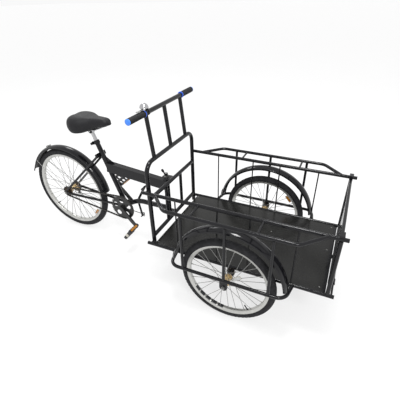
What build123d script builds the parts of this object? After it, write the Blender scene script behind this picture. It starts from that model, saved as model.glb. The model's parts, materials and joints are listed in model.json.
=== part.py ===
from build123d import *
import os
from math import atan2, cos, degrees, pi, radians, sin, sqrt

# Cargo tricycle. Millimetres, +X forward, +Y left, +Z up, ground at z = 0.
# The drawing's x = 0 is the plane of the hoop behind the box. The last lines move
# the whole tricycle so that x = 0 is half way along it.

# Fits and gaps
run_gap = 0.05        # shaft in a bore that turns or slides
loose_gap = 0.2       # bolt or rod in a plain hole
weld_gap = 0.15       # between the outlines of two welded or bolted pieces
side_gap = 0.3        # between pieces of two bodies that pass each other

# Cargo box frame
box_half = 307        # middle of the box to a side rail's centre line
rail_d = 20
rail_wall = 1.5
low_rail_z = 311
top_rail_z = 659
rail_rear_x = -22
rail_front_x = 1031
post_x = 1000         # fixed front posts
side_rod_d = 8
side_rod_xs = [180, 418, 591, 822]

# Floor
member_h = 12
members = [(34, 25), (470, 25), (625, 25), (969.5, 41)]   # middle and width
floor_t = 3
floor_rear_x = 22
floor_front_x = 971
floor_seam_y = -18
seam_gap = 0.6
floor_bolt_d = 8
floor_bolts = {34: (-279, 39, 279), 470: (-150, 150), 625: (-83, 83), 958: (-268, 39, 268)}

# Hoop and push bar
hoop_half = 273
hoop_d = 25
hoop_wall = 2
hoop_top_z = 813
hoop_foot_z = 290
hoop_bend = 62
mid_bar_z = 598
low_bar_z = 346
cross_d = 24
upright_y = 93
upright_d = 20
stub_d = 14
bar_half = 337
bar_d = 25
bar_x = -27
bar_z = 1060
bar_post_y = 185
bar_post_d = 23
grip_len = 133
grip_d = 34
ring_len = 7
ring_d = 38
cap_len = 8

# Bell
bell_y = -192
bell_clamp_y = -166
bell_clamp_w = 10
bell_dome_r = 23
bell_wall = 1.2
bell_lever_len = 46
bell_lever_t = 3
bell_pin_d = 4

# Steering
steer_x = -50
head_d = 37
head_wall = 3
bush_len = 22
plate_t = 6
plate_w = 52
kingpin_d = 20
kingpin_stub_d = 12
kingpin_nut_d = 32
kingpin_nut_h = 10
lock_hub_d = 24
lock_hub_h = 13
lock_len = 42
lock_rod_d = 9
lock_knob_d = 16
lock_knob_len = 15

# Wheel guards
guard_half = 421
guard_d = 19
guard_wall = 1.5
guard_bar_d = 16
guard_bar_xs = [269, 503, 735]
guard_bend = 55
top_bow_rear_x = 174
top_bow_front_x = 838
spacer_xs = {-1: (318, 658), 1: (342, 706)}     # the two sides were set by hand
spacer_d = 12

# Front wheels: 22 x 1.75
front_tyre_r = 267
front_rim_r = 235
front_tyre_w = 46
front_spokes = 28
front_hub_half = 30
front_flange_y = 22
front_flange_r = 24
front_wheel_x = 504

# Rear wheel: 26 x 1.75
rear_tyre_r = 325
rear_rim_r = 286
rear_tyre_w = 47
rear_spokes = 36
rear_hub_half = 55
rear_flange_y = 30
rear_flange_r = 27
rear_wheel_x = -896

# Shared wheel sizes
tyre_wall = 4
rim_w = 31
rim_h = 20
rim_lip = 3
rim_well = 9
spoke_d = 2
spoke_gap = 0.25
hub_barrel_r = 15
hub_end_r = 12
flange_t = 3
valve_d = 6
valve_len = 32
reflector_len = 52
reflector_w = 42

# Axles
axle_d = 10
nut_d = 19
nut_t = 8
axle_plate_t = 6
axle_plate_w = 44

# Fenders
fender_t = 2
fender_lip = 7
fender_crown = 11          # the middle of the sheet stands this much over its edges
front_fender_r = 319
front_fender_raise = 22    # from the wheel's centre up to the fender's
front_fender_w = 65
front_fender_rear = 173
front_fender_front = 7
tab_t = 3
tab_w = 24
rear_fender_r = 350
rear_fender_w = 62
rear_fender_front = 8
rear_fender_back = 150
rear_fender_tail = 76

# Gate
gate_d = 16
gate_wall = 1.5
gate_side_gap = 3
gate_low_z = 329
gate_top_z = 650
gate_panel_t = 2
hinge_x = 1018
hinge_d = 10
barrel_d = 18
barrel_len = 36
barrel_y = 200
catch_t = 10

# Rear frame
bb_x = -402
bb_z = 306
bb_d = 40
bb_half = 34
bb_wall = 3
seat_top_x = -567
seat_top_z = 767
seat_tube_d = 32
beam_w = 40
beam_h = 66
beam_wall = 2
beam_rear_z = 587.5
beam_front_z = 543
low_tube_d = 34
low_tube_wall = 2
low_tube_z = 367
low_tube_bend_x = -287
low_tube_bend = 200
stay_wall = 1.5
chain_stay_d = 18
chain_stay_y = 22
seat_stay_d = 16
seat_stay_y = 42
dropout_y = 62
dropout_t = 5
bridge_w = 100
bridge_h = 28
bridge_t = 4
bridge_s = 392        # distance up the seat tube

# Seat
post_d = 25.4
post_in = 150
saddle_pivot_z = 828
saddle_low_z = 838
saddle_h = 73
saddle_rear_x = -692
saddle_rear_r = 58
saddle_wide = 54
saddle_nose_x = -456
saddle_nose_r = 28
saddle_edge = 12
pivot_d = 8
ear_y = 14
ear_t = 4

# Drive
chain_y = -46
pitch = 12.7
ring_teeth = 44
sprocket_teeth = 18
tooth_t = 2.2
tooth_tip = 2.8
chain_w = 8
chain_half_h = 4.5
chain_slot = 3.4
spindle_d = 16
arm_len = 165
arm_t = 10
arm_y = 57
arm_angle = -48
arm_big_r = 15
arm_small_r = 12
pedal_pin_d = 9
pedal_in = 72
pedal_w = 102
pedal_l = 90
pedal_h = 24
right_pedal_turn = 54  # front edge raised from level
left_pedal_turn = -25
ring_holes = 5
ring_hole_r = 18
ring_hole_at = 55
sprocket_body_r = 24
drive_boss_r = 15

# Foot brake
brake_x = -316
brake_z = 343
brake_y = 28
brake_hub_d = 24
brake_arm_w = 16
brake_arm_t = 6
brake_pin_d = 10
pedal_dx = 70
pedal_dz = 124
foot_len = 75
foot_d = 12
lever_dx = 22
lever_dz = -122
rod_pin_d = 8
rod_y = 44
rod_d = 6
rod_slot = 9
rod_plate_t = 4
rod_rear_x = -880
rod_rear_z = 268
drum_r = 34
drum_in = 7           # from the left flange to the drum
drum_out = 17
drum_end = 6          # the hub stops this far short on the brake's side
brake_r = 42


def rod(p, q, d):
    """Round bar from p to q."""
    v = Vector(*q) - Vector(*p)
    return extrude(Plane(origin=p, z_dir=v) * Circle(d / 2), amount=v.length)


def pipe(p, q, d, wall):
    return rod(p, q, d) - rod(p, q, d - 2 * wall)


def bent(points, radius, d, wall):
    """Round tube along straight runs joined by tangent bends."""
    path = FilletPolyline(*points, radius=radius)
    section = Circle(d / 2) - Circle(d / 2 - wall)
    return sweep(Plane(origin=path @ 0, z_dir=path % 0) * section, path=path)


def across(x, y0, y1, z, d, bore=0):
    """Round bar or bush along Y."""
    shape = rod((x, y0, z), (x, y1, z), d)
    if bore:
        shape -= rod((x, y0, z), (x, y1, z), bore)
    return shape


def upright(x, y, z0, z1, d, bore=0):
    shape = rod((x, y, z0), (x, y, z1), d)
    if bore:
        shape -= rod((x, y, z0), (x, y, z1), bore)
    return shape


def spun(points):
    """Outline of (radius, across) pairs turned about the wheel's axis."""
    return revolve(make_face(Polyline(*points, close=True)), axis=Axis.Y)


def block(x0, x1, y0, y1, z0, z1):
    size = Box(x1 - x0, y1 - y0, z1 - z0)
    return Pos((x0 + x1) / 2, (y0 + y1) / 2, (z0 + z1) / 2) * size


def slab(face, y0, y1):
    """Outline drawn in (x, z), made solid from y0 to y1."""
    return extrude(Plane(origin=(0, y1, 0), x_dir=(1, 0, 0), z_dir=(0, -1, 0)) * face, amount=y1 - y0)


nodes = {}


def node(name, *shapes):
    nodes[name] = [s for shape in shapes for s in shape.solids()]


# ---------------------------------------------------------------- side rails
def rail_cut(side, z, x0=rail_rear_x - 50, x1=rail_front_x + 50):
    return rod((x0, side * box_half, z), (x1, side * box_half, z), rail_d + 2 * weld_gap)


sides = (-1, 1)
for name, z in (("bottom_rails", low_rail_z), ("top_rails", top_rail_z)):
    node(name, *[pipe((rail_rear_x, s * box_half, z), (rail_front_x, s * box_half, z), rail_d, rail_wall)
                 for s in sides])

between_low = low_rail_z + rail_d / 2 + weld_gap
between_top = top_rail_z - rail_d / 2 - weld_gap
node("side_uprights",
     *[upright(x, s * box_half, between_low, between_top, side_rod_d) for s in sides for x in side_rod_xs],
     *[upright(post_x, s * box_half, between_low, between_top, rail_d, rail_d - 2 * rail_wall)
       for s in sides])

# ---------------------------------------------------------------- floor
inside = box_half - rail_d / 2 - weld_gap
floor_z = low_rail_z + weld_gap
node("floor_members", *[block(x - width / 2, x + width / 2, -inside, inside,
                              low_rail_z - member_h, low_rail_z) for x, width in members])
bolt_holes = [(x, y) for x, row in floor_bolts.items() for y in row]
sheets = []
for y0, y1 in ((-inside, floor_seam_y - seam_gap / 2), (floor_seam_y + seam_gap / 2, inside)):
    sheet = block(floor_rear_x, floor_front_x, y0, y1, floor_z, floor_z + floor_t)
    for x, y in bolt_holes:
        sheet -= upright(x, y, floor_z - 1, floor_z + floor_t + 1, floor_bolt_d)
    sheets.append(sheet)
node("floor_sheets", *sheets)
node("floor_bolts", *[upright(x, y, floor_z, floor_z + floor_t, floor_bolt_d - 2 * weld_gap)
                      for x, y in bolt_holes])

# ---------------------------------------------------------------- hoop and push bar
hoop_points = [(0, -hoop_half, hoop_foot_z), (0, -hoop_half, hoop_top_z),
               (0, hoop_half, hoop_top_z), (0, hoop_half, hoop_foot_z)]
node("hoop", bent(hoop_points, hoop_bend, hoop_d, hoop_wall))
leg_in = hoop_half - hoop_d / 2 - weld_gap
upright_low = low_bar_z + cross_d / 2 + weld_gap
upright_top = mid_bar_z - cross_d / 2 - weld_gap
node("hoop_bars",
     across(0, -leg_in, leg_in, mid_bar_z, cross_d, cross_d - 2 * rail_wall),
     across(0, -leg_in, leg_in, low_bar_z, cross_d, cross_d - 2 * rail_wall),
     *[upright(0, s * upright_y, upright_low, upright_top, upright_d, upright_d - 2 * rail_wall)
       for s in sides],
     *[across(0, s * (hoop_half + hoop_d / 2 + weld_gap), s * inside, z, stub_d)
       for s in sides for z in (low_rail_z, top_rail_z)])

bar_tube = across(bar_x, -bar_half, bar_half, bar_z, bar_d, bar_d - 2 * hoop_wall)
node("handlebar", bar_tube)
posts = []
for y in (-bar_post_y, 0, bar_post_y):
    post = pipe((0, y, hoop_top_z), (bar_x, y, bar_z), bar_post_d, rail_wall)
    post -= across(0, y - 30, y + 30, hoop_top_z, hoop_d + 2 * weld_gap)
    post -= across(bar_x, y - 30, y + 30, bar_z, bar_d + 2 * weld_gap)
    posts.append(post)
node("handlebar_posts", *posts)
grip_bore = bar_d + 2 * weld_gap
grips = []
for s in sides:
    out = s * (bar_half + weld_gap)
    inner = s * (bar_half - grip_len)
    grips.append(across(bar_x, inner, s * bar_half, bar_z, grip_d, grip_bore))
    grips.append(across(bar_x, out, out + s * cap_len, bar_z, grip_d))
    ring_at = inner - s * weld_gap
    grips.append(across(bar_x, ring_at - s * ring_len, ring_at, bar_z, ring_d, grip_bore))
node("grips", *grips)

# ---------------------------------------------------------------- bell
bell_base_z = bar_z + ring_d / 2 + bell_lever_t + 5
clamp_y0 = bell_clamp_y - bell_clamp_w / 2
clamp_y1 = bell_clamp_y + bell_clamp_w / 2
clamp = across(bar_x, clamp_y0, clamp_y1, bar_z, bar_d + 8, grip_bore)
arm = block(bar_x - 6, bar_x + 6, bell_y, clamp_y1, bell_base_z - 3, bell_base_z)
arm += block(bar_x - 6, bar_x + 6, clamp_y0, clamp_y1, bar_z + bar_d / 2 + 1, bell_base_z)
base = upright(bar_x, bell_y, bell_base_z, bell_base_z + 3, 2 * bell_dome_r - 4)
lever_pin_y = bell_y - bell_dome_r + 6
lever_z = bell_base_z - bell_lever_t / 2 - 1.5
lever_pin = upright(bar_x, lever_pin_y, lever_z - 1, bell_base_z, bell_pin_d)
bell_low = bell_base_z + 3 + weld_gap
dome = Pos(bar_x, bell_y, bell_low) * (Sphere(bell_dome_r) - Sphere(bell_dome_r - bell_wall))
dome -= block(bar_x - 40, bar_x + 40, bell_y - 40, bell_y + 40, bell_low - 60, bell_low)
stem = upright(bar_x, bell_y, bell_low, bell_low + bell_dome_r - bell_wall / 2, 6)
node("bell", clamp + arm + base + lever_pin, dome + stem)
lever = upright(bar_x, lever_pin_y, lever_z - bell_lever_t / 2, lever_z + bell_lever_t / 2, 10)
lever += block(bar_x - 4, bar_x + 4, lever_pin_y - bell_lever_len, lever_pin_y,
               lever_z - bell_lever_t / 2, lever_z + bell_lever_t / 2)
lever += upright(bar_x, lever_pin_y - bell_lever_len, lever_z - bell_lever_t / 2, lever_z + bell_lever_t / 2, 14)
node("bell_lever", lever - upright(bar_x, lever_pin_y, lever_z - 9, lever_z + 9, bell_pin_d + 2 * run_gap))

# ---------------------------------------------------------------- steering
brackets = []
for z in (low_bar_z, mid_bar_z):
    plan = Pos(steer_x / 2, 0) * Rectangle(-steer_x, plate_w) + Pos(steer_x, 0) * Circle(plate_w / 2)
    plate = extrude(Pos(0, 0, z - plate_t / 2) * plan, amount=plate_t)
    plate -= across(0, -plate_w, plate_w, z, cross_d + 2 * weld_gap)
    brackets.append(plate - upright(steer_x, 0, z - 20, z + 20, kingpin_d + 2 * loose_gap))
node("steering_brackets", *brackets)
head_low = low_bar_z + plate_t / 2 + side_gap
head_top = mid_bar_z - plate_t / 2 - side_gap
head_bore = head_d - 2 * head_wall
pin_bore = kingpin_d + 2 * run_gap
node("head_tube",
     upright(steer_x, 0, head_low, head_top, head_d, head_bore),
     *[upright(steer_x, 0, z, z + bush_len, head_bore - 2 * weld_gap, pin_bore)
       for z in (head_low, head_top - bush_len)])
pin_head_z = low_bar_z - plate_t / 2 - weld_gap
nut_z = mid_bar_z + plate_t / 2 + weld_gap
lock_z = nut_z + kingpin_nut_h + side_gap
node("kingpin",
     upright(steer_x, 0, pin_head_z, nut_z + kingpin_nut_h, kingpin_d)
     + upright(steer_x, 0, pin_head_z - 6, pin_head_z, kingpin_nut_d)
     + upright(steer_x, 0, nut_z, lock_z + lock_hub_h, kingpin_stub_d),
     upright(steer_x, 0, nut_z, nut_z + kingpin_nut_h, kingpin_nut_d, kingpin_d + 2 * weld_gap))
lock_foot = Vector(steer_x, -kingpin_stub_d / 2 - 3, lock_z + lock_hub_h / 2)
lock_tip = Vector(steer_x - 6, -lock_len / 2, lock_z + lock_len * 0.8)
lock_end = lock_tip + (lock_tip - lock_foot).normalized() * lock_knob_len
lock = upright(steer_x, 0, lock_z, lock_z + lock_hub_h, lock_hub_d)
lock += rod(tuple(lock_foot), tuple(lock_tip), lock_rod_d)
lock += rod(tuple(lock_tip), tuple(lock_end), lock_knob_d)
node("lock_lever", lock - upright(steer_x, 0, lock_z - 5, lock_z + lock_hub_h + 60,
                                  kingpin_stub_d + 2 * run_gap))

# ---------------------------------------------------------------- wheel guards and fenders
wheel_y = (box_half + guard_half) / 2
fender_out = front_fender_r + fender_t
tab_mid = fender_out + weld_gap + tab_t / 2
fender_z = front_tyre_r + front_fender_raise
leg_x = sqrt(tab_mid ** 2 - (low_rail_z + guard_d / 2 - fender_z) ** 2)
leg_lean = (guard_half - box_half) * 0.08
top_bows = []
low_bows = []
for s in sides:
    rail_y = s * box_half
    out_y = s * guard_half
    reach = guard_half - box_half
    top_path = [(top_bow_rear_x - reach, rail_y, top_rail_z), (top_bow_rear_x, out_y, top_rail_z),
                (top_bow_front_x, out_y, top_rail_z), (top_bow_front_x + reach, rail_y, top_rail_z)]
    top_bows.append(bent(top_path, guard_bend, guard_d, guard_wall) - rail_cut(s, top_rail_z))
    low_path = [(front_wheel_x - leg_x - leg_lean, rail_y, low_rail_z),
                (front_wheel_x - leg_x + leg_lean, out_y, low_rail_z),
                (front_wheel_x + leg_x - leg_lean, out_y, low_rail_z),
                (front_wheel_x + leg_x + leg_lean, rail_y, low_rail_z)]
    low_bows.append(bent(low_path, guard_bend, guard_d, guard_wall) - rail_cut(s, low_rail_z))


def outer_piece(shapes):
    """Keep the largest solid of each shape: a coped end leaves a chip inside the rail."""
    return [max(shape.solids(), key=lambda solid: solid.volume) for shape in shapes]


node("guard_top_bows", *outer_piece(top_bows))
node("guard_low_bows", *outer_piece(low_bows))
bar_low = low_rail_z + guard_d / 2 + weld_gap
bar_top = top_rail_z - guard_d / 2 - weld_gap
spacer_in = box_half + rail_d / 2 + weld_gap
spacer_out = guard_half - guard_d / 2 - weld_gap
node("guard_bars",
     *[upright(x, s * guard_half, bar_low, bar_top, guard_bar_d) for s in sides for x in guard_bar_xs],
     *[across(x, s * spacer_in, s * spacer_out, top_rail_z, spacer_d) for s in sides for x in spacer_xs[s]])


def fender(radius, width, low_angle, high_angle, tail=0):
    """Crowned sheet arch with turned-in edges, from low_angle to high_angle above the forward direction."""
    half = width / 2
    out = radius + fender_t
    edge = radius - fender_crown
    lip = edge - fender_lip
    outside = ThreePointArc((edge + fender_t, -half), (out, 0), (edge + fender_t, half))
    right = Polyline((edge + fender_t, half), (lip, half), (lip, half - fender_t), (edge, half - fender_t))
    within = ThreePointArc((edge, half - fender_t), (radius, 0), (edge, fender_t - half))
    left = Polyline((edge, fender_t - half), (lip, fender_t - half), (lip, -half), (edge + fender_t, -half))
    profile = make_face([outside, right, within, left])
    arch = revolve(profile, axis=Axis.Y, revolution_arc=high_angle - low_angle)
    if tail:
        arch += extrude(profile, amount=tail)
    return Rot(0, -high_angle, 0) * arch


def arc_strip(radius, thick, width, low_angle, high_angle):
    profile = Pos(radius + thick / 2, 0) * Rectangle(thick, width)
    return Rot(0, -high_angle, 0) * revolve(profile, axis=Axis.Y, revolution_arc=high_angle - low_angle)


tab_low = degrees(atan2(low_rail_z + guard_d / 2 + 3 * weld_gap - fender_z, leg_x))
front_fenders = []
for s in sides:
    place = Pos(front_wheel_x, s * wheel_y, fender_z)
    front_fenders.append(place * fender(front_fender_r, front_fender_w, front_fender_front, front_fender_rear))
    for low, high in ((tab_low, tab_low + 9), (171 - tab_low, 180 - tab_low)):
        front_fenders.append(place * arc_strip(fender_out + weld_gap, tab_t, tab_w, low, high))
node("front_fenders", *front_fenders)

axle_plates = []
axles = []
for s in sides:
    for y, tube_r in ((box_half, rail_d / 2), (guard_half, guard_d / 2)):
        top = low_rail_z - tube_r + 0.3 - weld_gap
        plate = Pos(0, (top + front_tyre_r) / 2) * Rectangle(axle_plate_w, top - front_tyre_r)
        plate += Pos(0, front_tyre_r) * Circle(axle_plate_w / 2)
        plate -= Pos(0, front_tyre_r) * Circle(axle_d / 2 + loose_gap)
        solid = slab(Pos(front_wheel_x, 0) * plate, s * y - axle_plate_t / 2, s * y + axle_plate_t / 2)
        axle_plates.append(solid - rod((front_wheel_x - 60, s * y, low_rail_z),
                                       (front_wheel_x + 60, s * y, low_rail_z), 2 * tube_r + 2 * weld_gap))
    plate_in = box_half + axle_plate_t / 2
    plate_out = guard_half - axle_plate_t / 2
    hub_in = wheel_y - front_hub_half
    hub_out = wheel_y + front_hub_half
    x, z = front_wheel_x, front_tyre_r
    axle = across(x, s * (box_half - 18), s * (guard_half + 18), z, axle_d)
    axle += across(x, s * (plate_in + weld_gap), s * (hub_in - side_gap), z, nut_d - 3)
    axle += across(x, s * (hub_out + side_gap), s * (plate_out - weld_gap), z, nut_d - 3)
    axles.append(axle)
    for y0, y1 in ((box_half - axle_plate_t / 2 - nut_t - weld_gap, box_half - axle_plate_t / 2 - weld_gap),
                   (guard_half + axle_plate_t / 2 + weld_gap, guard_half + axle_plate_t / 2 + nut_t + weld_gap)):
        hexagon = Pos(x, z) * (RegularPolygon(nut_d / 2, 6) - Circle(axle_d / 2 + weld_gap))
        axles.append(slab(hexagon, min(s * y0, s * y1), max(s * y0, s * y1)))
node("axle_plates", *axle_plates)
node("front_axles", *axles)


# ---------------------------------------------------------------- wheels
def wheel(prefix, x, y, tyre_r, rim_r, tyre_w, count, hub_half, flange_y, flange_r, right_boss=0, drum=0):
    place = Pos(x, y, tyre_r)
    foot = rim_r + weld_gap
    air = Pos(tyre_r - tyre_w / 2, 0) * Circle(tyre_w / 2 - tyre_wall)
    air -= Pos(foot + tyre_wall - tyre_w, 0) * Rectangle(2 * tyre_w, 2 * tyre_w)
    ring = Pos(tyre_r - tyre_w / 2, 0) * Circle(tyre_w / 2) - air
    ring -= Pos(foot - tyre_w, 0) * Rectangle(2 * tyre_w, 2 * tyre_w)
    ring -= Pos(foot, 0) * Rectangle(2 * tyre_wall + 2, rim_w - 2 * rim_lip - 6)
    node(prefix + "_tyre", place * revolve(ring, axis=Axis.Y))

    w = rim_w / 2
    inner = rim_r - rim_h
    rim = spun([(rim_r, w), (rim_r, w - rim_lip), (rim_r - rim_well, w - rim_lip - 1),
                (rim_r - rim_well, 1 + rim_lip - w), (rim_r, rim_lip - w), (rim_r, -w),
                (inner + 8, -w), (inner, -w / 2), (inner, w / 2), (inner + 8, w)])
    step = 360 / count
    valve_turn = Rot(0, step / 2, 0)
    valve = valve_turn * rod((inner - valve_len, 0, 0), (inner - spoke_gap, 0, 0), valve_d)
    node(prefix + "_rim", place * rim, place * valve)

    spokes = []
    low = flange_r + spoke_gap
    high = inner - spoke_gap
    for i in range(count):
        lean = flange_y if i % 2 else -flange_y
        spokes.append(place * Rot(0, i * step, 0) * rod((low, lean, 0), (high, lean / 8, 0), spoke_d))
    far = high - 26
    gap_at_far = flange_y * (1 - 0.875 * (far - low) / (high - low))
    thick = 2 * (gap_at_far - spoke_d / 2 - side_gap)
    plate = Pos(far - reflector_len / 2, 0, 0) * Box(reflector_len, thick, reflector_w)
    spokes.append(place * Rot(0, step * (count // 4 + 0.5), 0) * plate)
    node(prefix + "_spokes", *spokes)

    bore = axle_d / 2 + run_gap
    t = flange_t / 2
    right_r = right_boss if right_boss else hub_end_r
    left = [(hub_end_r, flange_y + t), (hub_end_r, hub_half), (bore, hub_half)]
    if drum:
        left = [(hub_end_r, flange_y + t), (hub_end_r, flange_y + drum_in), (drum, flange_y + drum_in),
                (drum, flange_y + drum_out), (hub_end_r, flange_y + drum_out),
                (hub_end_r, hub_half - drum_end), (bore, hub_half - drum_end)]
    hub = spun([(bore, -hub_half), (right_r, -hub_half), (right_r, -flange_y - t), (flange_r, -flange_y - t),
                (flange_r, t - flange_y), (hub_barrel_r, t - flange_y), (hub_barrel_r, flange_y - t),
                (flange_r, flange_y - t), (flange_r, flange_y + t)] + left)
    node(prefix + "_hub", place * hub)


wheel("front_right", front_wheel_x, -wheel_y, front_tyre_r, front_rim_r, front_tyre_w, front_spokes,
      front_hub_half, front_flange_y, front_flange_r)
wheel("front_left", front_wheel_x, wheel_y, front_tyre_r, front_rim_r, front_tyre_w, front_spokes,
      front_hub_half, front_flange_y, front_flange_r)
wheel("rear", rear_wheel_x, 0, rear_tyre_r, rear_rim_r, rear_tyre_w, rear_spokes,
      rear_hub_half, rear_flange_y, rear_flange_r, right_boss=drive_boss_r, drum=drum_r)

# ---------------------------------------------------------------- gate
gate_half = inside - gate_side_gap - gate_d / 2
gate_bore = gate_d - 2 * gate_wall
gate_in = gate_half - gate_d / 2 - weld_gap
gate_posts = [upright(post_x, s * gate_half, gate_low_z - gate_d / 2, gate_top_z + gate_d / 2, gate_d, gate_bore)
              for s in sides]
gate_cross = [across(post_x, -gate_in, gate_in, z, gate_d, gate_bore) for z in (gate_low_z, gate_top_z)]
barrels = []
for s in sides:
    y0, y1 = s * barrel_y - barrel_len / 2, s * barrel_y + barrel_len / 2
    web_top = gate_low_z - gate_d / 2 - weld_gap
    web = block(post_x - gate_d / 2, hinge_x, y0, y1, low_rail_z - 3, low_rail_z + 6)
    web += block(post_x - gate_d / 2, post_x, y0, y1, low_rail_z - 3, web_top)
    barrel = across(hinge_x, y0, y1, low_rail_z, barrel_d) + web
    barrels.append(barrel - across(hinge_x, y0 - 5, y1 + 5, low_rail_z, hinge_d + 2 * run_gap))
catch_low = top_rail_z + rail_d / 2 + side_gap
catches = []
for s in sides:
    y0, y1 = s * (gate_half - gate_d / 2), s * (box_half + rail_d / 2 - 2)
    hook = block(post_x - 11, post_x + 11, min(y0, y1), max(y0, y1), catch_low, catch_low + catch_t)
    stem_y = s * (gate_half + gate_d / 2)
    hook += block(post_x - 7, post_x + 7, min(y0, stem_y), max(y0, stem_y),
                  gate_top_z + gate_d / 2 + weld_gap, catch_low + 1)
    catches.append(hook)
node("gate_frame", *gate_posts, *gate_cross, *barrels, *catches)
node("gate_panel", block(post_x - gate_panel_t / 2, post_x + gate_panel_t / 2, -gate_in, gate_in,
                         gate_low_z + gate_d / 2 + weld_gap, gate_top_z - gate_d / 2 - weld_gap))
tab_end = members[-1][0] + members[-1][1] / 2 + weld_gap
tab = block(tab_end, hinge_x, -14, 14, low_rail_z - 8, low_rail_z) + across(hinge_x, -14, 14, low_rail_z, barrel_d)
node("gate_hinge_rod", across(hinge_x, -inside, inside, low_rail_z, hinge_d),
     tab - across(hinge_x, -20, 20, low_rail_z, hinge_d + 2 * weld_gap))

# ---------------------------------------------------------------- rear frame
rake = degrees(atan2(bb_x - seat_top_x, seat_top_z - bb_z))
seat_len = sqrt((bb_x - seat_top_x) ** 2 + (seat_top_z - bb_z) ** 2)
seat_axis = Pos(bb_x, 0, bb_z) * Rot(0, -rake, 0)
bb_cut = across(bb_x, -90, 90, bb_z, bb_d + 2 * weld_gap)
seat_bore = post_d + 2 * run_gap
seat_cut = seat_axis * upright(0, 0, 0, seat_len, seat_tube_d + 2 * weld_gap)
node("bb_shell",
     across(bb_x, -bb_half, bb_half, bb_z, bb_d, bb_d - 2 * bb_wall),
     *[across(bb_x, s * (bb_half - 14), s * bb_half, bb_z, bb_d - 2 * bb_wall - 2 * weld_gap,
              spindle_d + 2 * run_gap) for s in sides])
node("seat_tube", seat_axis * upright(0, 0, 0, seat_len, seat_tube_d, seat_bore) - bb_cut)

beam_rear_x = bb_x - (beam_rear_z - bb_z) * (bb_x - seat_top_x) / (seat_top_z - bb_z)
beam_v = Vector(steer_x - beam_rear_x, 0, beam_front_z - beam_rear_z)
beam_plane = Plane(origin=(beam_rear_x, 0, beam_rear_z), x_dir=(0, 1, 0), z_dir=beam_v)
beam_face = Rectangle(beam_w, beam_h) - Rectangle(beam_w - 2 * beam_wall, beam_h - 2 * beam_wall)
head_cut = upright(steer_x, 0, head_low - 50, head_top + 50, head_d + 2 * weld_gap)
beam = extrude(beam_plane * beam_face, amount=beam_v.length) - seat_cut - head_cut
gusset_x = beam_rear_x + seat_tube_d / 2
gusset = slab(make_face(Polyline((gusset_x - 26, beam_rear_z + 74), (gusset_x - 8, beam_rear_z + 30),
                                 (gusset_x + 44, beam_rear_z + 30), close=True)), -2, 2)
gusset = gusset - seat_cut - extrude(beam_plane * Rectangle(beam_w + 1, beam_h + 2 * weld_gap),
                                     amount=beam_v.length)
node("main_beam", max(beam.solids(), key=lambda solid: solid.volume),
     max(gusset.solids(), key=lambda solid: solid.volume))

low_tube = bent([(bb_x, 0, bb_z), (low_tube_bend_x, 0, low_tube_z), (steer_x, 0, low_tube_z)],
                low_tube_bend, low_tube_d, low_tube_wall) - bb_cut - head_cut - seat_cut
boss_y = low_tube_d / 2 + loose_gap
rocker_y0 = brake_y - brake_arm_t / 2
rocker_y1 = brake_y + brake_arm_t / 2
boss = across(brake_x, boss_y, rocker_y0 - side_gap, brake_z, brake_hub_d - 4)
boss += across(brake_x, boss_y, rocker_y1 + 9, brake_z, brake_pin_d)
washer = across(brake_x, rocker_y1 + side_gap, rocker_y1 + 3, brake_z, brake_hub_d - 5,
                brake_pin_d + 2 * weld_gap)
node("lower_tube", max(low_tube.solids(), key=lambda solid: solid.volume), boss, washer)

stays = []
dropouts = []
stay_end_x = rear_wheel_x + 28
bridge_x = -(seat_tube_d / 2 + weld_gap + bridge_t / 2)
beyond_bridge = seat_axis * Pos(bridge_x - bridge_t / 2 - weld_gap + 150, 0, bridge_s) * Box(300, 400, 300)
stay_top = seat_axis * Pos(bridge_x + 12, 0, bridge_s)
for s in sides:
    stay = pipe((bb_x, s * chain_stay_y, bb_z), (stay_end_x, s * dropout_y, rear_tyre_r - 3),
                chain_stay_d, stay_wall) - bb_cut
    stays.append(max(stay.solids(), key=lambda solid: solid.volume))
    top = (stay_top.position.X, s * seat_stay_y, stay_top.position.Z)
    stay = pipe((rear_wheel_x + 14, s * dropout_y, rear_tyre_r + 24), top, seat_stay_d, stay_wall)
    stays.append(max((stay - beyond_bridge).solids(), key=lambda solid: solid.volume))
    outline = make_hull((Pos(0, 0) * Circle(17)).edges() + (Pos(15, 0) * Circle(11)).edges()
                        + (Pos(5, 11) * Circle(8)).edges())
    plate = Pos(rear_wheel_x, rear_tyre_r) * (outline - Circle(axle_d / 2 + loose_gap))
    solid = slab(plate, s * dropout_y - dropout_t / 2, s * dropout_y + dropout_t / 2)
    for end, far_end, d in (((stay_end_x, s * dropout_y, rear_tyre_r - 3),
                             (bb_x, s * chain_stay_y, bb_z), chain_stay_d),
                            ((rear_wheel_x + 14, s * dropout_y, rear_tyre_r + 24), top, seat_stay_d)):
        solid -= rod(end, far_end, d + 2 * weld_gap)
    dropouts.append(max(solid.solids(), key=lambda piece: piece.volume))
bridge = seat_axis * Pos(bridge_x, 0, bridge_s) * Box(bridge_t, bridge_w, bridge_h)
bolt_x = bridge_x - bridge_t / 2 - weld_gap
bridge_bolts = [seat_axis * rod((bolt_x, s * 16, bridge_s), (bolt_x - 6, s * 16, bridge_s), 12) for s in sides]
node("rear_stays", *stays, bridge, *bridge_bolts)
node("dropouts", *dropouts)

clamp_r = seat_tube_d / 2 + weld_gap
collar = Circle(clamp_r + 4) + Pos(-clamp_r - 8, 0) * Rectangle(18, 20)
collar -= Circle(clamp_r)
seat_collar = seat_axis * extrude(Pos(0, 0, seat_len - 24) * collar, amount=22)
clamp_bolt = seat_axis * rod((-clamp_r - 12, -10 - weld_gap, seat_len - 13),
                             (-clamp_r - 12, -26, seat_len - 13), 18)
clamp_nut = seat_axis * rod((-clamp_r - 12, 10 + weld_gap, seat_len - 13),
                            (-clamp_r - 12, 17, seat_len - 13), 12)
node("seat_clamp", seat_collar, clamp_bolt, clamp_nut)

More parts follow.
